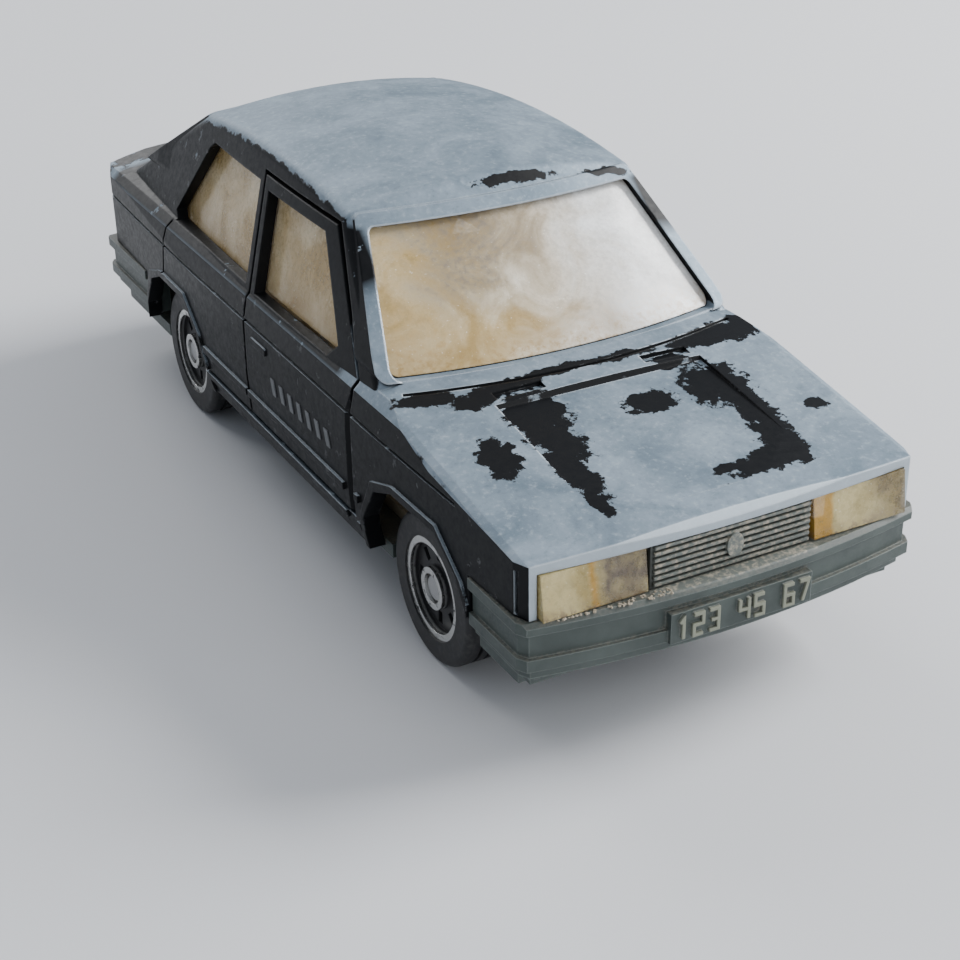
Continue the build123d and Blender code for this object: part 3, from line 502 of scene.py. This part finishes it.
def grit():
    """Grains caught on the bumper under the lamp on the right side."""
    chance = random.Random(4)
    verts, faces = [], []
    for _ in range(GRAINS):
        radius = chance.uniform(0.04, 0.11)
        x = -4.4 - 7.0 * chance.random() ** 1.6
        edge = -BUMPER_NOSE_Y + 1.25 * (x / 13) ** 2
        y = -BUMPER_TOP_BACK_Y + (edge + 35.5) * chance.random()
        start = len(verts)
        for ring, height in ((1.0, 0.0), (0.75, 0.7)):
            for corner in range(GRAIN_CORNERS):
                turn = 2 * math.pi * corner / GRAIN_CORNERS + x
                reach = radius * ring * chance.uniform(0.75, 1.2)
                verts.append((x + reach * math.cos(turn), y + reach * math.sin(turn),
                              BUMPER_TOP_Z + radius * height))
        faces += side_faces(start, GRAIN_CORNERS)
        faces.append([start + GRAIN_CORNERS + k for k in range(GRAIN_CORNERS)])
        faces.append([start + GRAIN_CORNERS - 1 - k for k in range(GRAIN_CORNERS)])
    return mesh_piece("dry_grit", verts, faces, grit_material(), "body")


def door_marks(side, name):
    """Row of plain slanted bars on a door below its window."""
    door = NODES[f"door_{name}"]
    verts, faces = [], []
    for place in range(BARS):
        y = BAR_START_Y + BAR_PITCH * place
        start = len(verts)
        for lift in (BAR_PROUD, -BAR_SUNK):
            for step, z in BAR_CORNERS:
                origin = Vector((side * 0.02, (y + step) * MM, z * MM))
                hit, spot = door.ray_cast(origin, Vector((-side, 0, 0)))[:2]
                surface = spot.x * 1000 if hit else side * DOOR_SKIN_X
                verts.append((surface + side * lift, y + step, z))
        faces += [[start + 3 - k for k in range(4)], [start + 4 + k for k in range(4)]]
        faces += side_faces(start, 4)
    return mesh_piece(f"door_{name}_bars", verts, faces, MARKS, f"door_{name}")


# ---- floor, light and camera ----------------------------------------------------
def studio():
    """Plain pale floor and soft light, strongest from the left side."""
    bpy.ops.mesh.primitive_plane_add(size=4.0)
    floor = bpy.context.object
    floor.name = "studio_floor"
    s = Shader("studio_floor")
    s.set("Base Color", (0.62, 0.63, 0.65, 1.0))
    s.set("Roughness", 0.75)
    floor.data.materials.append(s.material)

    lamps = [
        ("key_light", (0.33, -0.05, 0.22), 0.22, 3.2),
        ("back_light", (-0.05, 0.40, 0.26), 0.30, 1.2),
        ("front_fill", (0.06, -0.38, 0.20), 0.30, 0.8),
    ]
    for name, place, size, power in lamps:
        light = bpy.data.lights.new(name, "AREA")
        light.size = size
        light.energy = power
        lamp = bpy.data.objects.new(name, light)
        bpy.context.scene.collection.objects.link(lamp)
        lamp.location = place
        aim = Vector((0, 0, 0.012)) - Vector(place)
        lamp.rotation_euler = aim.to_track_quat("-Z", "Y").to_euler()

    world = bpy.data.worlds.new("studio_world")
    world.use_nodes = True
    world.node_tree.nodes["Background"].inputs["Color"].default_value = (0.72, 0.78, 0.88, 1.0)
    world.node_tree.nodes["Background"].inputs["Strength"].default_value = 0.5
    bpy.context.scene.world = world


def camera():
    """Camera low over the front right corner."""
    azimuth = math.radians(VIEW_AZIMUTH)
    elevation = math.radians(VIEW_ELEVATION)
    roll = math.radians(VIEW_ROLL)
    back = Vector((math.sin(azimuth) * math.cos(elevation),
                   -math.cos(azimuth) * math.cos(elevation), math.sin(elevation)))
    right = (-back).cross(Vector((0, 0, 1))).normalized()
    up = right.cross(-back)
    side = math.cos(roll) * right + math.sin(roll) * up
    top = -math.sin(roll) * right + math.cos(roll) * up
    data = bpy.data.cameras.new("camera")
    data.lens = LENS
    data.sensor_width = SENSOR
    data.clip_start = 0.005
    eye = bpy.data.objects.new("camera", data)
    bpy.context.scene.collection.objects.link(eye)
    eye.matrix_world = Matrix.Translation(Vector(EYE) * MM) @ Matrix(
        (side, top, back)).transposed().to_4x4()
    bpy.context.scene.camera = eye


dress_nodes()
grit()
for side_sign, side_name in ((1, "left"), (-1, "right")):
    door_marks(side_sign, side_name)
studio()
camera()
